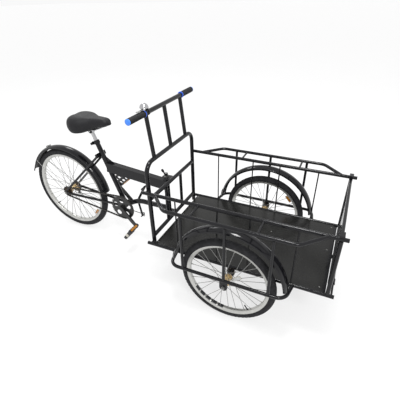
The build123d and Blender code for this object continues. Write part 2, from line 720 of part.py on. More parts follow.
# ---------------------------------------------------------------- rear axle, brake and fender
axle_end = dropout_y + dropout_t / 2 + nut_t + 6
spacer_r = hub_end_r - 3
rear_nuts = []
for s in sides:
    y0 = s * (dropout_y + dropout_t / 2 + weld_gap)
    y1 = y0 + s * nut_t
    hexagon = Pos(rear_wheel_x, rear_tyre_r) * (RegularPolygon(nut_d / 2, 6) - Circle(axle_d / 2 + weld_gap))
    rear_nuts.append(slab(hexagon, min(y0, y1), max(y0, y1)))
node("rear_axle",
     across(rear_wheel_x, -axle_end, axle_end, rear_tyre_r, axle_d),
     across(rear_wheel_x, side_gap - dropout_y + dropout_t / 2, -rear_hub_half - side_gap, rear_tyre_r,
            2 * spacer_r, axle_d + 2 * weld_gap),
     *rear_nuts)

drum_y0 = rear_flange_y + drum_in
cover_y = rear_hub_half - drum_end + side_gap
band = Circle(brake_r) - Circle(drum_r + 2 * side_gap)
band_solid = slab(Pos(rear_wheel_x, rear_tyre_r) * band, drum_y0, cover_y + 2)
disc = Circle(brake_r) - Circle(axle_d / 2 + loose_gap)
cover = slab(Pos(rear_wheel_x, rear_tyre_r) * disc, cover_y, cover_y + 2)
collar_solid = slab(Pos(rear_wheel_x, rear_tyre_r) * (Circle(hub_end_r) - Circle(axle_d / 2 + loose_gap)),
                    cover_y, dropout_y - dropout_t / 2 - weld_gap)
pin_x = brake_x + lever_dx
pin_z = brake_z + lever_dz
rod_front = Vector(pin_x, rod_y, pin_z)
rod_rear = Vector(rod_rear_x, rod_y, rod_rear_z)
rod_dir = (rod_rear - rod_front).normalized()
eye_a = rod_rear - rod_dir * 8
eye_b = rod_rear + rod_dir * 8
lug = block(rod_rear_x - 5, rod_rear_x + 5, rod_y - 4, rod_y + 4, rod_rear_z, rear_tyre_r - drum_r - 3)
eye = rod(tuple(eye_a), tuple(eye_b), 14) + lug
eye -= rod(tuple(rod_rear - rod_dir * 30), tuple(rod_rear + rod_dir * 30), rod_d + 2 * run_gap)
node("hub_brake", band_solid + cover + collar_solid + eye)

place = Pos(rear_wheel_x, 0, rear_tyre_r)
node("rear_fender", place * fender(rear_fender_r, rear_fender_w, rear_fender_front, rear_fender_back,
                                   rear_fender_tail))
edge_y = rear_fender_w / 2 + 2 + weld_gap
wire_y = dropout_y + dropout_t / 2 + 2.7
wire_turn = radians(rear_fender_back - 8)
near = nut_d / 2 + 3
far = rear_fender_r - fender_crown - fender_lip + 4
wires = [rod((rear_wheel_x + near * cos(wire_turn), s * wire_y, rear_tyre_r + near * sin(wire_turn)),
             (rear_wheel_x + far * cos(wire_turn), s * edge_y, rear_tyre_r + far * sin(wire_turn)), 4)
         for s in sides]
fitting = Rot(0, -112, 0) * Pos(rear_fender_r + fender_t + weld_gap + 4, 0, 0) * Box(8, 14, 40)
node("rear_fender_stays", *wires, place * fitting)

# ---------------------------------------------------------------- seat post and saddle
pivot_s = (saddle_pivot_z - bb_z) / cos(radians(rake))
pivot = seat_axis * Pos(0, 0, pivot_s)
px, pz = pivot.position.X, pivot.position.Z
ear_in = ear_y - ear_t / 2
post = seat_axis * upright(0, 0, seat_len - post_in, pivot_s, post_d)
post -= across(px, -40, 40, pz, 2 * 14)
head = across(px, side_gap - ear_in, ear_in - side_gap, pz, 28)
post += head
post += across(px, -ear_y - 6, ear_y + 6, pz, pivot_d)
node("seat_post", post)
ears = []
saddle_floor = saddle_low_z + 4
for s in sides:
    y0, y1 = s * ear_y - ear_t / 2, s * ear_y + ear_t / 2
    ear = block(px - 14, px + 14, y0, y1, pz, saddle_floor) + across(px, y0, y1, pz, 28)
    ears.append(ear - across(px, y0 - 5, y1 + 5, pz, pivot_d + 2 * run_gap))
rail_plate = block(px - 45, px + 45, -ear_y - 8, ear_y + 8, saddle_floor, saddle_floor + 3)
bracket = ears[0] + ears[1] + rail_plate
bracket -= across(px, side_gap - ear_in - 0.3, ear_in - side_gap + 0.3, pz, 29)
node("saddle_bracket", bracket)
plan = make_hull((Pos(saddle_rear_x, -saddle_wide) * Circle(saddle_rear_r)).edges()
                 + (Pos(saddle_rear_x, saddle_wide) * Circle(saddle_rear_r)).edges()
                 + (Pos(saddle_nose_x, 0) * Circle(saddle_nose_r)).edges())
cushion_z = saddle_floor + 3 + weld_gap
cushion = extrude(Pos(0, 0, cushion_z) * plan, amount=saddle_h)
cushion = fillet(cushion.faces().sort_by(Axis.Z)[-1].edges(), saddle_edge)
node("saddle", cushion)

# ---------------------------------------------------------------- drive
ring_r = pitch / (2 * sin(pi / ring_teeth))
sprocket_r = pitch / (2 * sin(pi / sprocket_teeth))


def toothed(radius, teeth):
    blank = Circle(radius + tooth_tip)
    notches = [Rot(0, 0, (i + 0.5) * 360 / teeth) * Pos(radius, 0) * Circle(pitch * 0.31) for i in range(teeth)]
    return blank - notches


def loop(grow):
    rear = (Pos(rear_wheel_x, rear_tyre_r) * Circle(sprocket_r + grow)).edges()
    front = (Pos(bb_x, bb_z) * Circle(ring_r + grow)).edges()
    return make_hull(rear + front)


chain_band = slab(loop(chain_half_h) - loop(-chain_half_h), chain_y - chain_w / 2, chain_y + chain_w / 2)
chain_slot_cut = slab(loop(tooth_tip + 0.6) - loop(-chain_half_h - 3), chain_y - chain_slot / 2,
                      chain_y + chain_slot / 2)
node("chain", chain_band - chain_slot_cut)

spindle_bore = spindle_d + 2 * run_gap
ring_face = toothed(ring_r, ring_teeth)
for i in range(ring_holes):
    ring_face -= Rot(0, 0, i * 360 / ring_holes + 18) * Pos(ring_hole_at, 0) * Circle(ring_hole_r)
ring_face -= Circle(spindle_bore / 2)
chainring = slab(Pos(bb_x, bb_z) * ring_face, chain_y - tooth_t / 2, chain_y + tooth_t / 2)
chainring += across(bb_x, chain_y - tooth_t / 2, weld_gap - arm_y, bb_z, 38, spindle_bore)
node("chainring", chainring)
cog_face = toothed(sprocket_r, sprocket_teeth) - Circle(drive_boss_r + run_gap)
cog = slab(Pos(rear_wheel_x, rear_tyre_r) * cog_face, chain_y - tooth_t / 2, chain_y + tooth_t / 2)
cog += across(rear_wheel_x, chain_y - 5, -rear_flange_y - flange_t / 2 - 1, rear_tyre_r, 2 * sprocket_body_r,
              2 * (drive_boss_r + run_gap))
node("sprocket", cog)

cranks = [across(bb_x, -arm_y - arm_t, arm_y + arm_t, bb_z, spindle_d)]
pedals = {}
for s, name in ((-1, "pedal_right"), (1, "pedal_left")):
    turn = radians(arm_angle) + (pi if s > 0 else 0)
    ex, ez = bb_x + arm_len * cos(turn), bb_z + arm_len * sin(turn)
    outline = make_hull((Pos(bb_x, bb_z) * Circle(arm_big_r)).edges() + (Pos(ex, ez) * Circle(arm_small_r)).edges())
    face = outline - Pos(bb_x, bb_z) * Circle(spindle_d / 2 + weld_gap)
    arm_solid = slab(face, min(s * arm_y, s * (arm_y + arm_t)), max(s * arm_y, s * (arm_y + arm_t)))
    cranks.append(arm_solid + across(ex, s * arm_y, s * (pedal_in + pedal_w + 4), ez, pedal_pin_d))
    body = block(ex - pedal_l / 2, ex + pedal_l / 2, min(s * pedal_in, s * (pedal_in + pedal_w)),
                 max(s * pedal_in, s * (pedal_in + pedal_w)), ez - pedal_h / 2, ez + pedal_h / 2)
    body -= across(ex, s * (pedal_in - 5), s * (pedal_in + pedal_w + 5), ez, pedal_pin_d + 2 * run_gap)
    y_mid = s * (pedal_in + pedal_w / 2)
    lenses = [block(ex + e * (pedal_l / 2 + weld_gap) - (3 if e < 0 else 0),
                    ex + e * (pedal_l / 2 + weld_gap) + (3 if e > 0 else 0),
                    y_mid - 26, y_mid + 26, ez - 7, ez + 7) for e in (-1, 1)]
    turn_up = right_pedal_turn if s < 0 else left_pedal_turn
    tilt = Pos(ex, 0, ez) * Rot(0, -turn_up, 0) * Pos(-ex, 0, -ez)
    pedals[name] = [tilt * shape for shape in [body] + lenses]
node("crank_arms", *cranks)
for name, shapes in pedals.items():
    node(name, *shapes)

# ---------------------------------------------------------------- foot brake
foot_x = brake_x + pedal_dx
foot_z = brake_z + pedal_dz


def flat_bar(x0, z0, x1, z1, width):
    return make_hull((Pos(x0, z0) * Circle(width / 2)).edges() + (Pos(x1, z1) * Circle(width / 2)).edges())


rocker_face = flat_bar(brake_x, brake_z, foot_x, foot_z, brake_arm_w)
rocker_face += flat_bar(brake_x, brake_z, pin_x, pin_z, brake_arm_w - 2)
rocker_face += Pos(brake_x, brake_z) * Circle(brake_hub_d / 2)
rocker = slab(rocker_face, rocker_y0, rocker_y1)
rocker += across(foot_x, brake_y - foot_len / 2, brake_y + foot_len / 2, foot_z, foot_d)
rocker += across(pin_x, brake_y - 18, rod_y + rod_plate_t, pin_z, rod_pin_d)
rocker -= across(brake_x, rocker_y0 - 3, rocker_y1 + 3, brake_z, brake_pin_d + 2 * run_gap)
node("brake_pedal", rocker)

slot = make_hull((Pos(pin_x, pin_z + rod_slot) * Circle(rod_pin_d / 2 + 0.5)).edges()
                 + (Pos(pin_x, pin_z - rod_slot) * Circle(rod_pin_d / 2 + 0.5)).edges())
end_face = make_hull((Pos(pin_x, pin_z + rod_slot) * Circle(rod_pin_d / 2 + 5)).edges()
                     + (Pos(pin_x, pin_z - rod_slot) * Circle(rod_pin_d / 2 + 5)).edges()) - slot
eye_plate = slab(end_face, rod_y - rod_plate_t / 2, rod_y + rod_plate_t / 2)
rod_start = rod_front + rod_dir * (rod_pin_d / 2 + 3)
rod_stop = rod_rear + rod_dir * 16
link = rod(tuple(rod_start), tuple(rod_stop), rod_d)
slot_cut = slab(slot, rod_y - 10, rod_y + 10)
node("brake_rod", (eye_plate + link) - slot_cut)

# ---------------------------------------------------------------- write the pieces
boxes = [solid.bounding_box() for solids in nodes.values() for solid in solids]
shift = -(min(b.min.X for b in boxes) + max(b.max.X for b in boxes)) / 2
os.makedirs("parts", exist_ok=True)
for name, solids in nodes.items():
    moved = [solid.moved(Location((shift, 0, 0))) for solid in solids]
    export_step(Compound(moved), f"parts/{name}.step")
print("nodes", len(nodes), "shift", round(shift, 3), "ground", round(min(b.min.Z for b in boxes), 3))
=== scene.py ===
import json
from math import acos, atan2, cos, pi, radians, sin, sqrt

import bmesh
import bpy
from mathutils import Matrix, Vector


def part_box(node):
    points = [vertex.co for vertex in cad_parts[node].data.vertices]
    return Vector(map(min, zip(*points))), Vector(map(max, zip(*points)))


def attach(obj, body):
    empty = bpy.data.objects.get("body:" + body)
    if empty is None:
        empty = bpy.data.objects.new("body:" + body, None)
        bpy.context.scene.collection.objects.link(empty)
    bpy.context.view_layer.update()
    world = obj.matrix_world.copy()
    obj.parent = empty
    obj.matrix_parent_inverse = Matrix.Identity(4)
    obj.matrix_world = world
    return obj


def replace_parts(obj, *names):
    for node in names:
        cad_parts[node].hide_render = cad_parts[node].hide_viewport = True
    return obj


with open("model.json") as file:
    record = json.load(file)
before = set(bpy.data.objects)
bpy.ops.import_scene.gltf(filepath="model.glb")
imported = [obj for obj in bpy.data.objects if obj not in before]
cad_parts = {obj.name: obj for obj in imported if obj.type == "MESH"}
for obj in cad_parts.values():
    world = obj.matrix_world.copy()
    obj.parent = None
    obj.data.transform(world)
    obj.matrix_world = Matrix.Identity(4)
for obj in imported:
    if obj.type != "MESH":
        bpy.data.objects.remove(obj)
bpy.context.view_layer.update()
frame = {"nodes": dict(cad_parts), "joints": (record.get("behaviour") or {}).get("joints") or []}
nodes = frame["nodes"]


def middle(node):
    low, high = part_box(node)
    return (low + high) / 2


def joint_point(name):
    return Vector(next(j["pos_m"] for j in frame["joints"] if j["name"] == name))


# ---------------------------------------------------------------- mesh making
class Shape:
    """Collects points and faces, then becomes one mesh piece."""

    def __init__(self):
        self.points = []
        self.faces = []

    def grid(self, rows, around=False, closed=True, ends=False):
        """Quads through rows of points.

        around joins the last row to the first, closed joins each row's ends, ends caps both end rows.
        """
        start = len(self.points)
        n = len(rows[0])
        for row in rows:
            self.points.extend(row)
        count = len(rows)
        for i in range(count if around else count - 1):
            a = start + i * n
            b = start + ((i + 1) % count) * n
            for j in range(n if closed else n - 1):
                k = (j + 1) % n
                self.faces.append((a + j, a + k, b + k, b + j))
        if ends:
            self.faces.append(tuple(start + j for j in reversed(range(n))))
            self.faces.append(tuple(start + (count - 1) * n + j for j in range(n)))

    def lathe(self, centre, axis, profile, n=64, loop=True):
        """profile is (radius, along) pairs, turned about axis through centre. loop closes the profile."""
        axis = Vector(axis).normalized()
        side = axis.orthogonal().normalized()
        other = axis.cross(side)
        rows = []
        for i in range(n):
            a = 2 * pi * i / n
            out = side * cos(a) + other * sin(a)
            rows.append([centre + out * r + axis * t for r, t in profile])
        self.grid(rows, around=True, closed=loop)
        if not loop:
            start = len(self.points) - n * len(profile)
            m = len(profile)
            self.faces.append(tuple(start + i * m for i in reversed(range(n))))
            self.faces.append(tuple(start + i * m + m - 1 for i in range(n)))

    def bar(self, p, q, r, n=12):
        """Round bar of radius r from p to q."""
        p, q = Vector(p), Vector(q)
        d = q - p
        self.lathe(p, d, [(r, 0), (r, d.length)], n, loop=False)

    def tube(self, path, r, n=10, around=False):
        """Round section swept along a list of points."""
        path = [Vector(p) for p in path]
        rows = []
        normal = None
        count = len(path)
        for i, p in enumerate(path):
            before = path[i - 1] if i or around else p
            after = path[(i + 1) % count] if i + 1 < count or around else p
            d = (after - before).normalized()
            normal = d.orthogonal() if normal is None else normal - d * normal.dot(d)
            normal.normalize()
            other = d.cross(normal)
            turns = [2 * pi * j / n for j in range(n)]
            rows.append([p + (normal * cos(w) + other * sin(w)) * r for w in turns])
        self.grid(rows, around=around, ends=not around)

    def box(self, centre, x, y, z):
        """Box from its centre and three half-edge vectors."""
        c, x, y, z = Vector(centre), Vector(x), Vector(y), Vector(z)
        corners = ((-1, -1), (1, -1), (1, 1), (-1, 1))
        rows = [[c + x * a + y * b + z * k for a, b in corners] for k in (-1, 1)]
        self.grid(rows, ends=True)

    def make(self, name, body, mat, sharp=35, bevel=0):
        """Makes the piece and lets it ride on a body. Edges over sharp degrees stay crisp."""
        mesh = bpy.data.meshes.new(name)
        mesh.from_pydata([tuple(p) for p in self.points], [], self.faces)
        mesh.validate()
        obj = bpy.data.objects.new(name, mesh)
        bpy.context.scene.collection.objects.link(obj)
        finish_mesh(obj, sharp)
        mesh.materials.append(mat)
        if bevel:
            add_bevel(obj, bevel)
        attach(obj, body)
        return obj


def finish_mesh(obj, sharp):
    """Turns all faces outwards and shades them smooth, apart from edges over sharp degrees."""
    work = bmesh.new()
    work.from_mesh(obj.data)
    bmesh.ops.recalc_face_normals(work, faces=work.faces)
    work.to_mesh(obj.data)
    work.free()
    for face in obj.data.polygons:
        face.use_smooth = True
    obj.data.set_sharp_from_angle(angle=radians(sharp))


def add_bevel(obj, width):
    """Softens edges sharper than 40 degrees."""
    mod = obj.modifiers.new("edge", "BEVEL")
    mod.width = width
    mod.segments = 2
    mod.limit_method = "ANGLE"
    mod.angle_limit = radians(40)
    mod.harden_normals = False


# ---------------------------------------------------------------- materials
def glow(mat, strength):
    """Gives a studio surface an even light of its own, so that shadows on it stay pale."""
    shader = mat.node_tree.nodes["Principled BSDF"]
    shader.inputs["Emission Color"].default_value = (1, 1, 1, 1)
    shader.inputs["Emission Strength"].default_value = strength
    return mat


def material(name, colour, rough=(0.35, 0.5), metal=0.0, vary=0.15, scale=60.0, bump=0.0, bump_scale=400.0,
             coat=0.0, spots=None, spot_colour=None, cells=False, spec=0.5):
    """Painted, moulded or metal surface with uneven colour, uneven gloss and a fine relief."""
    mat = bpy.data.materials.new(name)
    mat.use_nodes = True
    tree = mat.node_tree
    new = tree.nodes.new
    link = tree.links.new
    shader = tree.nodes["Principled BSDF"]
    shader.inputs["Metallic"].default_value = metal
    shader.inputs["Coat Weight"].default_value = coat
    shader.inputs["Coat Roughness"].default_value = 0.12
    shader.inputs["Specular IOR Level"].default_value = spec
    place = new("ShaderNodeTexCoord")
    broad = new("ShaderNodeTexNoise")
    broad.inputs["Scale"].default_value = scale
    broad.inputs["Detail"].default_value = 6
    link(place.outputs["Object"], broad.inputs["Vector"])
    ramp = new("ShaderNodeValToRGB")
    dark = [c * (1 - vary) for c in colour]
    light = [min(1.0, c * (1 + vary)) for c in colour]
    ramp.color_ramp.elements[0].position = 0.3
    ramp.color_ramp.elements[0].color = (*dark, 1)
    ramp.color_ramp.elements[1].position = 0.72
    ramp.color_ramp.elements[1].color = (*light, 1)
    link(broad.outputs["Fac"], ramp.inputs["Fac"])
    colour_out = ramp.outputs["Color"]
    if spots:
        patch = new("ShaderNodeTexNoise")
        patch.inputs["Scale"].default_value = spots
        patch.inputs["Detail"].default_value = 8
        patch.inputs["Roughness"].default_value = 0.7
        link(place.outputs["Object"], patch.inputs["Vector"])
        edge = new("ShaderNodeMapRange")
        edge.inputs["From Min"].default_value = 0.62
        edge.inputs["From Max"].default_value = 0.74
        link(patch.outputs["Fac"], edge.inputs["Value"])
        mix = new("ShaderNodeMix")
        mix.data_type = "RGBA"
        link(edge.outputs["Result"], mix.inputs["Factor"])
        link(colour_out, mix.inputs["A"])
        mix.inputs["B"].default_value = (*spot_colour, 1)
        colour_out = mix.outputs["Result"]
    link(colour_out, shader.inputs["Base Color"])
    gloss = new("ShaderNodeMapRange")
    gloss.inputs["To Min"].default_value = rough[0]
    gloss.inputs["To Max"].default_value = rough[1]
    fine = new("ShaderNodeTexNoise")
    fine.inputs["Scale"].default_value = scale * 4
    fine.inputs["Detail"].default_value = 5
    link(place.outputs["Object"], fine.inputs["Vector"])
    link(fine.outputs["Fac"], gloss.inputs["Value"])
    link(gloss.outputs["Result"], shader.inputs["Roughness"])
    if bump:
        relief = new("ShaderNodeTexVoronoi" if cells else "ShaderNodeTexNoise")
        relief.inputs["Scale"].default_value = bump_scale
        link(place.outputs["Object"], relief.inputs["Vector"])
        lift = new("ShaderNodeBump")
        lift.inputs["Strength"].default_value = bump
        lift.inputs["Distance"].default_value = 0.0006
        link(relief.outputs["Distance" if cells else "Fac"], lift.inputs["Height"])
        link(lift.outputs["Normal"], shader.inputs["Normal"])
    return mat


dust = (0.055, 0.053, 0.050)
paint = material("frame_paint", (0.0065, 0.0065, 0.0078), (0.08, 0.18), bump=0.04, bump_scale=900,
                 spots=22, spot_colour=(0.011, 0.011, 0.011), spec=0.28)
deck_paint = material("deck_paint", (0.0115, 0.0115, 0.0108), (0.18, 0.32), vary=0.3, scale=9, bump=0.05,
                      bump_scale=90, spots=7, spot_colour=(0.020, 0.0195, 0.018), spec=0.28)
rubber = material("tyre_rubber", (0.021, 0.021, 0.023), (0.6, 0.8), vary=0.3, scale=45, bump=0.35,
                  bump_scale=1500, spots=30, spot_colour=dust, spec=0.12)
rim_paint = material("rim_silver", (0.50, 0.50, 0.48), (0.25, 0.4), metal=0.65, vary=0.08, scale=25,
                     bump=0.05)
steel = material("spoke_steel", (0.26, 0.26, 0.255), (0.3, 0.45), metal=0.6, vary=0.12, scale=90)
gold = material("hub_gold", (0.68, 0.50, 0.25), (0.25, 0.42), metal=1.0, vary=0.22, scale=80, bump=0.06,
                spots=60, spot_colour=(0.20, 0.13, 0.05))
zinc = material("zinc", (0.30, 0.30, 0.29), (0.3, 0.45), metal=0.85, vary=0.15, scale=120, bump=0.08)
chrome = material("chrome", (0.48, 0.48, 0.49), (0.06, 0.14), metal=1.0, vary=0.06, scale=30)
vinyl = material("saddle_vinyl", (0.0125, 0.0125, 0.0140), (0.42, 0.56), vary=0.12, scale=30, bump=0.30,
                 bump_scale=700, cells=True, spec=0.20)
piping = material("saddle_piping", (0.009, 0.009, 0.010), (0.45, 0.6), vary=0.1, bump=0.2)
grip_rubber = material("grip_rubber", (0.010, 0.010, 0.011), (0.5, 0.7), vary=0.15, bump=0.3,
                       bump_scale=1200, spec=0.3)
ring_blue = material("ring_blue", (0.020, 0.095, 0.56), (0.3, 0.4), vary=0.08)
cap_blue = material("cap_blue", (0.050, 0.21, 0.74), (0.3, 0.45), vary=0.08)
amber = material("reflector_amber", (0.36, 0.145, 0.012), (0.1, 0.2), vary=0.12, bump=0.8, bump_scale=500,
                 cells=True, coat=0.4)
clear = material("reflector_clear", (0.55, 0.56, 0.56), (0.1, 0.2), vary=0.05, bump=0.8, bump_scale=500,
                 cells=True, coat=0.4)
chain_steel = material("chain_steel", (0.030, 0.028, 0.026), (0.3, 0.5), metal=0.6, vary=0.3, scale=200,
                       spots=90, spot_colour=(0.05, 0.035, 0.02))
cog_steel = material("cog_steel", (0.060, 0.040, 0.026), (0.4, 0.6), metal=0.7, vary=0.3, scale=120)
crank_metal = material("crank_metal", (0.011, 0.011, 0.011), (0.25, 0.4), metal=0.1, vary=0.2, bump=0.08)
pedal_black = material("pedal_plastic", (0.014, 0.014, 0.015), (0.45, 0.6), vary=0.15, bump=0.25,
                       bump_scale=800)
pale_plastic = material("pale_plastic", (0.48, 0.46, 0.40), (0.4, 0.55), vary=0.08, bump=0.1)
patch_dark = material("rim_patch", (0.020, 0.021, 0.024), (0.35, 0.5), vary=0.15)

# CAD nodes that aren't frame paint, and those whose plate edges are softened
by_name = {
    "floor_sheets": deck_paint, "floor_bolts": zinc, "front_axles": zinc, "rear_axle": zinc,
    "seat_post": chrome, "sprocket": cog_steel, "crank_arms": crank_metal, "chainring": crank_metal,
    "rear_fender_stays": steel, "kingpin": zinc, "brake_rod": steel, "bell": chrome, "bell_lever": zinc,
}
for name, obj in nodes.items():
    obj.data.materials.clear()
    obj.data.materials.append(by_name.get(name, paint))
edge_radius = 0.0007
for name in ("steering_brackets", "axle_plates", "dropouts", "crank_arms", "gate_frame", "gate_panel",
             "main_beam", "brake_pedal", "seat_clamp", "floor_sheets", "front_axles", "rear_axle",
             "hub_brake", "lock_lever", "bell_lever", "gate_hinge_rod", "saddle_bracket"):
    add_bevel(nodes[name], edge_radius)


# ---------------------------------------------------------------- wheels
tread_high = 0.0021       # a tread block over the tyre's carcass
spoke_r = 0.0014
small_hub_half = 0.04     # a hub wider than this has a sprocket seat and a brake drum


def wheel(prefix, body, spokes, cross, valve_at, reflector_at, lens, patches=(), lying=None):
    """Tyre, rim, valve, hub, crossed spokes and reflector of one wheel.

    Angles turn from the front upwards. lying is a reflector's distance from the axle and its shift
    to the left, for one that lies along a spoke.
    """
    low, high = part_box(prefix + "_tyre")
    centre = (low + high) / 2
    tyre_r = (high.z - low.z) / 2
    tyre_w = high.y - low.y
    rim_low, rim_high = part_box(prefix + "_rim")
    rim_r = (rim_high.z - rim_low.z) / 2
    rim_half = (rim_high.y - rim_low.y) / 2
    hub_low, hub_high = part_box(prefix + "_hub")
    side = Vector((0, 1, 0))

    def spot(angle, radius, across=0.0):
        return centre + Vector((radius * cos(angle), across, radius * sin(angle)))

    # tyre: bead feet in the rim, sidewall ribs and a blocked tread
    body_r = tyre_w / 2 - tread_high
    core = tyre_r - tread_high - body_r
    turn = acos(max(-1.0, -(core - rim_r - 0.0003) / body_r))
    steps = 30
    around = 576
    rows = []
    for i in range(around):
        a = 2 * pi * i / around
        row = []
        for j in range(steps + 1):
            t = -turn + 2 * turn * j / steps
            lift = 0.0
            crown = abs(t)
            if crown < 0.16:
                lift = 0.0020 if (i + (2 if t > 0 else 0)) % 8 < 7 else 0.0004
            elif crown < 0.42:
                lift = 0.0020 if (i + (4 if t > 0 else 0)) % 8 < 6 else -0.0004
            elif crown < 0.75:
                lift = 0.0019 if (i + (0 if t > 0 else 4)) % 8 < 5 else -0.0006
            elif 1.02 < crown < 1.18:
                lift = 0.0005
            elif 1.5 < crown < 1.62:
                lift = 0.0005
            r = core + (body_r + lift) * cos(t)
            row.append(spot(a, r, (body_r + min(lift, 0.0006)) * sin(t)))
        row.append(spot(a, rim_r - 0.003, rim_half - 0.0042))
        row.append(spot(a, rim_r - 0.003, 0.0042 - rim_half))
        rows.append(row)
    shape = Shape()
    shape.grid(rows, around=True)
    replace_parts(shape.make(prefix + "_tyre_moulded", body, rubber, sharp=30), prefix + "_tyre")

    # rim: box section with rolled edges
    w = rim_half
    inner = rim_r - 0.020
    shape = Shape()
    shape.lathe(centre, side, [
        (rim_r, w - 0.0012), (rim_r - 0.0006, w - 0.0003), (rim_r - 0.003, w),
        (rim_r - 0.0045, w - 0.0008), (rim_r - 0.012, w - 0.0010), (inner + 0.006, w - 0.0024),
        (inner + 0.0015, w * 0.62), (inner, w * 0.42),
        (inner, -w * 0.42), (inner + 0.0015, -w * 0.62),
        (inner + 0.006, 0.0024 - w), (rim_r - 0.012, 0.0010 - w), (rim_r - 0.0045, 0.0008 - w),
        (rim_r - 0.003, -w), (rim_r - 0.0006, 0.0003 - w), (rim_r, 0.0012 - w),
        (rim_r, 0.0030 - w), (rim_r - 0.009, 0.0044 - w), (rim_r - 0.009, w - 0.0044), (rim_r, w - 0.0030),
    ], n=160)
    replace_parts(shape.make(prefix + "_rim_rolled", body, rim_paint, sharp=40), prefix + "_rim")

    # valve with its cap
    shape = Shape()
    along = (spot(valve_at, 0) - spot(valve_at, 1)).normalized()
    shape.lathe(spot(valve_at, inner + 0.002), along, [
        (0.0055, 0), (0.0055, 0.003), (0.0036, 0.005), (0.0031, 0.022), (0.0036, 0.0225), (0.0036, 0.031),
        (0.0028, 0.034)], n=18, loop=False)
    shape.make(prefix + "_valve", body, grip_rubber)

    # hub shell: flanges with rolled edges and a waisted barrel
    half = (hub_high.y - hub_low.y) / 2
    hub_mid = Vector((centre.x, (hub_low.y + hub_high.y) / 2, centre.z))
    flange_y = 0.022 if half < small_hub_half else 0.030
    flange_r = 0.024 if half < small_hub_half else 0.027
    shape = Shape()
    outline = [(0.0056, -half + 0.001), (0.0115, -half + 0.001), (0.0120, -half + 0.004),
               (0.0120, -flange_y - 0.004), (0.0160, -flange_y - 0.0022),
               (flange_r - 0.001, -flange_y - 0.0016), (flange_r, -flange_y),
               (flange_r - 0.001, 0.0016 - flange_y), (0.0175, 0.0030 - flange_y),
               (0.0145, 0.010 - flange_y), (0.0138, 0)]
    if half > small_hub_half:
        outline = [(r, y) for r, y in outline if y > -flange_y - 0.003]
        outline[0:0] = [(0.0056, -0.0545), (0.0150, -0.0545), (0.0150, -flange_y - 0.004)]
        other = [(r, -y) for r, y in reversed(outline[3:-1])]
        other += [(0.0120, 0.036), (0.0120, 0.0371), (0.0335, 0.0371), (0.0338, 0.0468), (0.0120, 0.0468),
                  (0.0118, 0.0488), (0.0056, 0.0488)]
        hub_mid = centre
    else:
        other = [(r, -y) for r, y in reversed(outline[:-1])]
    shape.lathe(hub_mid, side, outline + other, n=48)
    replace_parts(shape.make(prefix + "_hub_shell", body, gold, sharp=40), prefix + "_hub")

    # crossed spokes with nipples
    wires = Shape()
    nipples = Shape()
    for i in range(spokes):
        rim_a = 2 * pi * (i + 0.25) / spokes
        s = 1 if i % 2 else -1
        lead = 1 if (i // 2) % 2 else -1
        hub_a = rim_a + lead * cross * 4 * pi / spokes
        out = s * (flange_y + lead * 0.0022)
        a = spot(hub_a, flange_r - 0.004, out)
        b = spot(rim_a, inner - 0.001, s * rim_half * 0.16)
        wires.bar(a, b, spoke_r, n=8)
        d = (a - b).normalized()
        wires.bar(spot(hub_a, flange_r - 0.004, s * (flange_y - 0.0028)),
                  spot(hub_a, flange_r - 0.004, s * (flange_y + 0.0028)), 0.0017, n=8)
        nipples.lathe(b - d * 0.001, d, [(0.0030, 0), (0.0030, 0.002), (0.0021, 0.003), (0.0020, 0.013),
                                         (0.0012, 0.014)], n=8, loop=False)
    wire_piece = wires.make(prefix + "_spokes_crossed", body, steel)
    nipples.make(prefix + "_nipples", body, zinc)
    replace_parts(wire_piece, prefix + "_spokes")

    # spoke reflector: across, near the rim, or lying along the outer spokes nearer the hub
    out = (spot(reflector_at, 1) - centre).normalized()
    tangent = out.cross(side)
    held = centre + out * (inner - 0.0108)
    if lying:
        held = centre + out * lying[0] + side * lying[1]
        out, tangent = tangent, out
    shape = Shape()
    shape.box(held, out * 0.0085, side * 0.0042, tangent * 0.024)
    shape.make(prefix + "_reflector", body, lens, bevel=0.002)
    shape = Shape()
    shape.box(held, out * 0.0100, side * 0.0028, tangent * 0.026)
    shape.make(prefix + "_reflector_frame", body, pale_plastic, bevel=0.0012)

    for at in patches:
        shape = Shape()
        rows = []
        for i in range(9):
            a = at + radians(i - 4) * 1.1
            rows.append([spot(a, inner + 0.0033, w * 0.76), spot(a, inner + 0.0009, w * 0.60),
                         spot(a, inner - 0.0005, w * 0.40), spot(a, inner - 0.0005, -w * 0.40),
                         spot(a, inner + 0.0009, -w * 0.60), spot(a, inner + 0.0033, -w * 0.76),
                         spot(a, inner + 0.0050, -w * 0.70), spot(a, inner + 0.0012, 0),
                         spot(a, inner + 0.0050, w * 0.70)])
        shape.grid(rows, ends=True)
        shape.make(f"{prefix}_patch_{patches.index(at)}", body, patch_dark)


patch_turns = [radians(217 + 11 * i) for i in range(5)]    # dark ribbons in the near front rim
wheel("front_right", "front_right_wheel", 28, 3, radians(-55), radians(38), clear, patch_turns,
      lying=(0.074, -0.0155))
wheel("front_left", "front_left_wheel", 28, 3, radians(250), radians(40), amber)
wheel("rear", "rear_wheel", 36, 3, radians(222), radians(-38), amber)


# ---------------------------------------------------------------- chain
ring_teeth = 44
cog_teeth = 18


